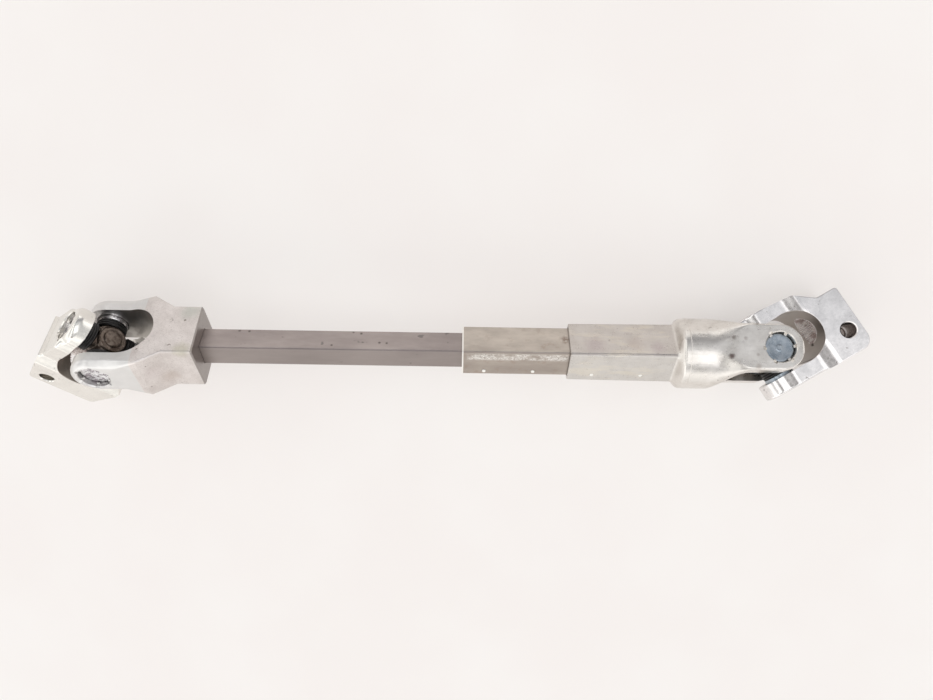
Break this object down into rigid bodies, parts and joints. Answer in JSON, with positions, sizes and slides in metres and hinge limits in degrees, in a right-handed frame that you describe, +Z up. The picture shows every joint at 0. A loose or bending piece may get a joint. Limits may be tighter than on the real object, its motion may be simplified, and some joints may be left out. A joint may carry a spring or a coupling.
{
  "type": "telescopic intermediate steering shaft",
  "caption": "Telescopic steering shaft with a cardan joint and an open-sided pinch clamp at each end, square sliding section between, bent at both joints as it lies on the ground.",
  "frame": {"origin": "middle of the footprint, on the surface that the shaft lies on", "axes": "+Z up, the shaft lies along X with its square tube end towards +X"},
  "size_m": [0.467, 0.079, 0.0677],
  "materials": {
    "milled_aluminium": "milled and tumbled, satin, lightly stained",
    "drawn_aluminium": "drawn and anodised grey, satin",
    "shaft_aluminium": "drawn, dull grey film",
    "cup_steel": "drawn bearing steel, blue-grey, fine satin",
    "forged_steel": "forged, oiled brown scale",
    "seal_rubber": "matt black",
    "white_plastic": "moulded, matt off-white"
  },
  "bodies": {
    "tube_side": {"tube_yoke": "milled_aluminium", "sleeve": "drawn_aluminium", "shear_liner": "white_plastic", "slide_liner": "white_plastic", "right_fork_near_cup": "cup_steel", "right_fork_near_seal": "seal_rubber", "right_fork_far_cup": "cup_steel", "right_fork_far_seal": "seal_rubber"},
    "shaft_side": {"inner_shaft": "shaft_aluminium", "shaft_yoke": "milled_aluminium", "left_fork_near_cup": "cup_steel", "left_fork_near_seal": "seal_rubber", "left_fork_far_cup": "cup_steel", "left_fork_far_seal": "seal_rubber"},
    "left_cross_body": {"left_cross": "forged_steel"},
    "left_clamp_body": {"left_clamp_yoke": "milled_aluminium", "left_clamp_near_cup": "cup_steel", "left_clamp_near_seal": "seal_rubber", "left_clamp_far_cup": "cup_steel", "left_clamp_far_seal": "seal_rubber"},
    "right_cross_body": {"right_cross": "forged_steel"},
    "right_clamp_body": {"right_clamp_yoke": "milled_aluminium", "right_clamp_near_cup": "cup_steel", "right_clamp_near_seal": "seal_rubber", "right_clamp_far_cup": "cup_steel", "right_clamp_far_seal": "seal_rubber"}
  },
  "joints": [
    {"name": "telescope", "type": "slide", "parent": "tube_side", "child": "shaft_side", "axis": [0.9989, -0.0065, -0.0464], "range_m": [-0.025, 0.05]},
    {"name": "left_fork_pivot", "type": "hinge", "parent": "shaft_side", "child": "left_cross_body", "pos_m": [-0.18548, 0.00263, 0.04227], "axis": [0.0326, -0.6153, 0.7877], "range_deg": [-84.4, 1.6]},
    {"name": "left_clamp_pivot", "type": "hinge", "parent": "left_cross_body", "child": "left_clamp_body", "pos_m": [-0.18548, 0.00263, 0.04227], "axis": [-0.6353, 0.5956, 0.4915], "range_deg": [-10, 24]},
    {"name": "right_fork_pivot", "type": "hinge", "parent": "tube_side", "child": "right_cross_body", "pos_m": [0.18212, 0.00022, 0.0252], "axis": [0.0443, 0.4544, 0.8897], "range_deg": [-69, 7]},
    {"name": "right_clamp_pivot", "type": "hinge", "parent": "right_cross_body", "child": "right_clamp_body", "pos_m": [0.18212, 0.00022, 0.0252], "axis": [0.5276, -0.7669, 0.3654], "range_deg": [-28, 12]}
  ]
}
